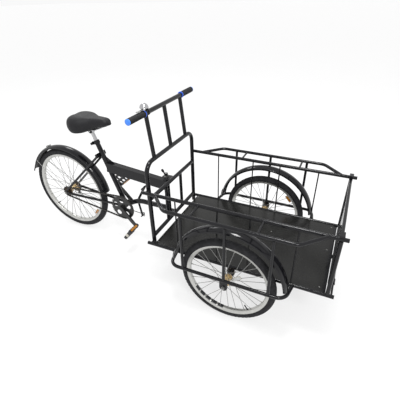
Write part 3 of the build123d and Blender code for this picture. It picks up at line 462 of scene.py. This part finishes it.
def chain():
    """Plates and rollers, one link after another round the chainring and the sprocket."""
    ring = joint_point("crank_spin")
    cog = joint_point("rear_wheel_spin")
    low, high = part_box("chain")
    y = (low.y + high.y) / 2
    pitch = 0.0127
    big = pitch / (2 * sin(pi / ring_teeth))
    small = pitch / (2 * sin(pi / cog_teeth))
    gap = Vector((ring.x - cog.x, ring.z - cog.z))
    base = atan2(gap.y, gap.x)
    lean = acos((big - small) / gap.length)
    straight = sqrt(gap.length ** 2 - (big - small) ** 2)
    up, down = base + pi - lean, base - pi + lean
    wrap_big = 2 * (pi - lean)
    wrap_small = 2 * lean
    total = 2 * straight + big * wrap_big + small * wrap_small
    count = 2 * round(total / pitch / 2)
    step = total / count

    def at(s):
        """x and z at the length s along the loop."""
        s %= total
        if s < big * wrap_big:
            a = up - s / big
            return ring.x + big * cos(a), ring.z + big * sin(a)
        s -= big * wrap_big
        p = (ring.x + big * cos(down), ring.z + big * sin(down))
        q = (cog.x + small * cos(down), cog.z + small * sin(down))
        if s < straight:
            t = s / straight
            return p[0] + (q[0] - p[0]) * t, p[1] + (q[1] - p[1]) * t
        s -= straight
        if s < small * wrap_small:
            a = down - s / small
            return cog.x + small * cos(a), cog.z + small * sin(a)
        s -= small * wrap_small
        p = (cog.x + small * cos(up), cog.z + small * sin(up))
        q = (ring.x + big * cos(up), ring.z + big * sin(up))
        t = s / straight
        return p[0] + (q[0] - p[0]) * t, p[1] + (q[1] - p[1]) * t

    plate_r = 0.0048
    waist = 0.0037
    plates = Shape()
    rollers = Shape()
    for i in range(count):
        ax, az = at(i * step)
        bx, bz = at((i + 1) * step)
        d = Vector((bx - ax, 0, bz - az)).normalized()
        n = Vector((-d.z, 0, d.x))
        a = Vector((ax, y, az))
        b = Vector((bx, y, bz))
        offset = 0.0034 if i % 2 else 0.0021
        for s in (-1, 1):
            rows = []
            for t in (offset, offset + 0.0012):
                row = []
                for k in range(7):
                    w = pi / 2 + pi * k / 6
                    row.append(a + d * cos(w) * plate_r + n * sin(w) * plate_r + Vector((0, s * t, 0)))
                row.append((a + b) / 2 - n * waist + Vector((0, s * t, 0)))
                for k in range(7):
                    w = -pi / 2 + pi * k / 6
                    row.append(b + d * cos(w) * plate_r + n * sin(w) * plate_r + Vector((0, s * t, 0)))
                row.append((a + b) / 2 + n * waist + Vector((0, s * t, 0)))
                rows.append(row)
            plates.grid(rows, ends=True)
        rollers.bar(a - Vector((0, 0.0017, 0)), a + Vector((0, 0.0017, 0)), 0.0036, n=12)
        plates.bar(a - Vector((0, 0.0045, 0)), a + Vector((0, 0.0045, 0)), 0.0017, n=10)
    piece = plates.make("chain_plates", "rear_frame", chain_steel)
    rollers.make("chain_rollers", "rear_frame", chain_steel)
    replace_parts(piece, "chain")


chain()


# ---------------------------------------------------------------- saddle
def curve(v, table):
    """Catmull-Rom value at v through a short table of (v, value) pairs."""
    last = len(table) - 1
    k = next((i for i in range(last) if v <= table[i + 1][0]), last - 1)
    p0, p1, p2, p3 = (table[min(max(i, 0), last)][1] for i in range(k - 1, k + 3))
    t = (v - table[k][0]) / (table[k + 1][0] - table[k][0])
    return 0.5 * (2 * p1 + (p2 - p0) * t + (2 * p0 - 5 * p1 + 4 * p2 - p3) * t ** 2
                  + (3 * p1 - p0 - 3 * p2 + p3) * t ** 3)


# along the saddle from its back (0) to its nose (1): half width, and how far its top and
# its skirt lie under its crest
saddle_width = [(0, 0.030), (0.04, 0.066), (0.12, 0.096), (0.26, 0.112), (0.40, 0.104), (0.52, 0.078),
                (0.64, 0.053), (0.80, 0.041), (0.93, 0.034), (0.985, 0.020), (1, 0.008)]
saddle_top = [(0, 0.036), (0.05, 0.014), (0.16, 0.001), (0.34, 0.000), (0.55, 0.007), (0.75, 0.008),
              (0.90, 0.010), (0.97, 0.019), (1, 0.032)]
saddle_skirt = [(0, 0.074), (0.08, 0.098), (0.25, 0.116), (0.42, 0.113), (0.58, 0.092), (0.75, 0.070),
                (0.90, 0.062), (1, 0.050)]
saddle_crest = 0.017        # crest over the CAD cushion
saddle_short = 0.018        # its back in front of the CAD cushion's


def saddle_point(v, a, low, high, y_mid):
    """Point of the cover at v along the saddle and turn a of its section."""
    wide = curve(v, saddle_width)
    top = high.z + saddle_crest - curve(v, saddle_top)
    skirt = high.z + saddle_crest - curve(v, saddle_skirt)
    edge_z = skirt + (top - skirt) * 0.42       # height of the widest point
    c, s = cos(a), sin(a)
    y = wide * abs(c) ** 0.64 * (1 if c > 0 else -1)
    if s >= 0:
        z = edge_z + (top - edge_z) * s ** 0.72
        rear = max(0.0, 1 - v / 0.45)
        z -= 0.003 * rear * max(0.0, 1 - abs(y) / 0.045) ** 1.5 * s
        z -= 0.0015 * max(0.0, 1 - abs(y) / 0.02) * s
    else:
        z = edge_z - (edge_z - skirt) * (-s) ** 0.60
        hollow = (low.z - skirt) * 1.05
        z += max(0.0, hollow) * (-s) ** 3 * max(0.0, 1 - abs(y) / max(wide, 0.001)) ** 0.5
        y *= 1 - 0.12 * (-s)
    back = low.x + saddle_short
    return Vector((back + (high.x - back) * v, y_mid + y, z))


def saddle():
    """Padded cover, its piped seam and the rails."""
    low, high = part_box("saddle")
    y_mid = (low.y + high.y) / 2
    stations = 34
    ring = 48
    places = [0.5 - 0.5 * cos(pi * i / stations) for i in range(stations + 1)]
    shape = Shape()
    shape.grid([[saddle_point(v, 2 * pi * j / ring, low, high, y_mid) for j in range(ring)] for v in places],
               ends=True)
    cover = shape.make("saddle_cover", "saddle_unit", vinyl, sharp=80)
    mod = cover.modifiers.new("round", "SUBSURF")
    mod.levels = 2
    mod.render_levels = 2
    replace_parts(cover, "saddle")
    # piped seam round the lower edge of the cover
    path = [saddle_point(v, -0.42, low, high, y_mid) for v in places[1:-1]]
    path += [saddle_point(v, pi + 0.42, low, high, y_mid) for v in reversed(places[1:-1])]
    seam = Shape()
    seam.tube(path, 0.0022, n=8, around=True)
    seam.make("saddle_seam", "saddle_unit", piping, sharp=80)
    # two wire rails under the cover
    rails = Shape()
    for s in (-1, 1):
        rails.tube([(low.x + 0.055, s * 0.045, low.z + 0.006), (low.x + 0.090, s * 0.032, low.z - 0.0015),
                    (low.x + 0.150, s * 0.024, low.z - 0.0035), (low.x + 0.205, s * 0.022, low.z - 0.0035),
                    (low.x + 0.250, s * 0.016, low.z + 0.014), (low.x + 0.285, s * 0.010, low.z + 0.030)],
                   0.0035, n=10)
    rails.make("saddle_rails", "saddle_unit", chrome)


saddle()


# ---------------------------------------------------------------- grips
def grips():
    """Ribbed rubber grips with their end caps and inner rings."""
    bar = middle("handlebar")
    r = 0.0168            # over the ribs
    first = None
    for s, name in ((-1, "right"), (1, "left")):
        inner = s * 0.204
        outer = s * 0.337
        count = 30
        step = (outer - inner) / count
        profile = [(0.0127, inner), (r + 0.0012, inner), (r + 0.0012, inner + step)]
        for i in range(1, count):
            y = inner + step * i
            profile += [(r - 0.0012, y + step * 0.1), (r - 0.0012, y + step * 0.3),
                        (r, y + step * 0.45), (r, y + step * 0.85)]
        profile += [(r - 0.0008, outer), (0.0127, outer)]
        shape = Shape()
        centre = Vector((bar.x, 0, bar.z))
        shape.lathe(centre, (0, 1, 0), profile, n=40)
        piece = shape.make("grip_" + name, "cargo_frame", grip_rubber, sharp=50)
        first = first or piece
        shape = Shape()
        shape.lathe(centre, (0, 1, 0), [(0.0, outer), (r - 0.0006, outer), (r - 0.0002, outer + s * 0.003),
                                        (r - 0.003, outer + s * 0.0062), (0.008, outer + s * 0.0078),
                                        (0.0, outer + s * 0.008)], n=40)
        shape.make("grip_cap_" + name, "cargo_frame", cap_blue)
        shape = Shape()
        a = inner - s * 0.0002
        b = inner - s * 0.0068
        shape.lathe(centre, (0, 1, 0), [(0.0127, a), (0.0180, a), (0.0188, a - s * 0.0012),
                                        (0.0188, b + s * 0.0012), (0.0180, b), (0.0127, b)], n=40)
        shape.make("grip_ring_" + name, "cargo_frame", ring_blue)
    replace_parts(first, "grips")


grips()


# ---------------------------------------------------------------- pedals
def pedal(node, body, s, turn):
    """Cage pedal round its spin axis; turn lifts its front edge from level."""
    low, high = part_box(node)
    axis = joint_point(body + "_spin")
    c = Vector((axis.x, (low.y + high.y) / 2, axis.z))
    hy = (high.y - low.y) / 2
    hx = 0.043            # half its length and half its height
    hz = 0.012
    fx = Vector((cos(turn), 0, sin(turn)))
    fz = Vector((-sin(turn), 0, cos(turn)))
    fy = Vector((0, 1, 0))
    shape = Shape()
    shape.lathe(c - fy * (hy - 0.001), fy, [(0.0052, 0), (0.0105, 0), (0.0095, 0.012),
                                            (0.0095, 2 * hy - 0.014), (0.0105, 2 * hy - 0.002),
                                            (0.0052, 2 * hy - 0.002)], n=28)
    for e in (-1, 1):
        rail = c + fx * e * (hx - 0.0045)
        shape.box(rail, fx * 0.0045, fy * (hy - 0.004), fz * hz * 0.92)
        shape.box(c + fy * e * (hy - 0.004), fx * hx, fy * 0.004, fz * hz * 0.80)
        for k in (-1, 1):
            shape.box(c + fx * k * hx * 0.56 + fy * e * hy * 0.33, fx * hx * 0.38, fy * 0.0022,
                      fz * hz * 0.6)
            for t in range(5):
                shape.box(rail + fy * (t - 2) * hy * 0.38 + fz * k * hz * 0.95, fx * 0.0028,
                          fy * 0.0035, fz * 0.0011)
    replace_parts(shape.make(node + "_cage", body, pedal_black, bevel=0.0008), node)
    for e, name in ((-1, "back"), (1, "front")):
        shape = Shape()
        shape.box(c + fx * e * (hx + 0.0012), fx * 0.0014, fy * 0.034, fz * 0.0075)
        shape.make(f"{node}_reflector_{name}", body, amber, bevel=0.0007)
    shape = Shape()
    shape.lathe(c + fy * s * (hy - 0.0005), fy * s, [(0, 0), (0.0125, 0), (0.0120, 0.0024),
                                                     (0.008, 0.0042), (0, 0.0048)], n=28)
    shape.make(node + "_end_cap", body, pale_plastic)


pedal("pedal_right", "right_pedal", -1, radians(54))
pedal("pedal_left", "left_pedal", 1, radians(-25))


# ---------------------------------------------------------------- bell
def bell():
    """Dome with its cap nut, on a base that a clamp holds to the push bar."""
    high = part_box("bell")[1]
    bar = middle("handlebar")
    lever = joint_point("bell_lever_push")
    radius = 0.023
    wall = 0.0012
    y = lever.y + radius - 0.006
    top = high.z
    rim = top - radius
    up = Vector((0, 0, 1))
    shape = Shape()
    turns = [pi / 2 * i / 12 for i in range(12)]
    outer = [(radius * cos(a), radius * sin(a)) for a in turns]
    inner = [((radius - wall) * cos(a), (radius - wall) * sin(a)) for a in turns]
    profile = [(radius + 0.0008, 0), (radius + 0.0008, 0.0016)] + outer[1:] + [(0.002, radius)]
    profile += [(0.002, radius - wall)] + list(reversed(inner))
    shape.lathe(Vector((bar.x, y, rim)), up, profile, n=48)
    dome = shape.make("bell_dome", "cargo_frame", chrome)
    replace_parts(dome, "bell")
    shape = Shape()
    shape.lathe(Vector((bar.x, y, top - 0.002)), up, [(0, 0), (0.0045, 0), (0.0045, 0.002),
                                                      (0.0025, 0.0030), (0, 0.0032)], n=16)
    shape.make("bell_cap_nut", "cargo_frame", chrome)
    shape = Shape()
    base = rim - 0.0032
    shape.lathe(Vector((bar.x, y, base)), up, [(0, 0), (radius - 0.003, 0), (radius - 0.002, 0.001),
                                               (radius - 0.002, 0.003), (0.0030, 0.003), (0.0030, 0.020),
                                               (0, 0.020)], n=32)
    clamp_y = -0.166
    shape.box((bar.x, (y + clamp_y) / 2, base - 0.0016), (0.006, 0, 0), (0, (clamp_y - y) / 2, 0),
              (0, 0, 0.0015))
    shape.box((bar.x, clamp_y, (bar.z + 0.0135 + base) / 2), (0.006, 0, 0), (0, 0.005, 0),
              (0, 0, (base - bar.z - 0.0135) / 2))
    shape.lathe(Vector((bar.x, clamp_y - 0.005, bar.z)), (0, 1, 0),
                [(0.0127, 0), (0.0155, 0), (0.0160, 0.0008), (0.0160, 0.0092), (0.0155, 0.010),
                 (0.0127, 0.010)], n=40)
    shape.make("bell_base", "cargo_frame", paint, bevel=0.0004)


bell()


# ---------------------------------------------------------------- camera, light and floor
def camera():
    """Looks down on the right side from ahead, placed from the steering axis."""
    yaw, pitch, roll = radians(115.43), radians(31.99), radians(-1.34)
    look = Vector((cos(pitch) * cos(yaw), cos(pitch) * sin(yaw), -sin(pitch)))
    right = look.cross(Vector((0, 0, 1))).normalized()
    up = right.cross(look)
    right, up = right * cos(roll) + up * sin(roll), up * cos(roll) - right * sin(roll)
    data = bpy.data.cameras.new("camera")
    data.sensor_width = 36
    data.lens = 29.62
    obj = bpy.data.objects.new("camera", data)
    turn = Matrix((right, up, -look)).transposed().to_4x4()
    head = joint_point("steering")
    obj.matrix_world = Matrix.Translation((head.x + 0.9758, -1.5664, 1.5663)) @ turn
    bpy.context.scene.collection.objects.link(obj)
    bpy.context.scene.camera = obj


def area(name, place, size, power):
    """Square soft light, aimed at the middle of the tricycle."""
    target = (0, 0, 0.4)
    data = bpy.data.lights.new(name, "AREA")
    data.shape = "SQUARE"
    data.size = size
    data.energy = power
    obj = bpy.data.objects.new(name, data)
    obj.location = place
    obj.rotation_euler = (Vector(target) - Vector(place)).to_track_quat("-Z", "Y").to_euler()
    bpy.context.scene.collection.objects.link(obj)


camera()
area("key", (2.6, -3.0, 4.2), 0.9, 95)
area("top", (0.6, -0.6, 4.6), 0.9, 95)
area("back", (-3.0, 2.6, 4.2), 1.2, 40)
world = bpy.data.worlds.new("studio")
world.use_nodes = True
world.node_tree.nodes["Background"].inputs["Color"].default_value = (1, 1, 1, 1)
world.node_tree.nodes["Background"].inputs["Strength"].default_value = 0.95
bpy.context.scene.world = world
bpy.context.scene.view_settings.view_transform = "Standard"

floor_half = 90
ground = Shape()
ground.grid([[Vector((-floor_half, y, 0)), Vector((floor_half, y, 0))] for y in (-floor_half, floor_half)],
            closed=False)
ground_mesh = bpy.data.meshes.new("studio_floor")
ground_mesh.from_pydata([tuple(p) for p in ground.points], [], ground.faces)
ground_obj = bpy.data.objects.new("studio_floor", ground_mesh)
bpy.context.scene.collection.objects.link(ground_obj)
floor_white = material("studio_floor", (0.28, 0.28, 0.28), (0.8, 0.9), vary=0.01, scale=2, spec=0.1)
ground_mesh.materials.append(glow(floor_white, 0.68))
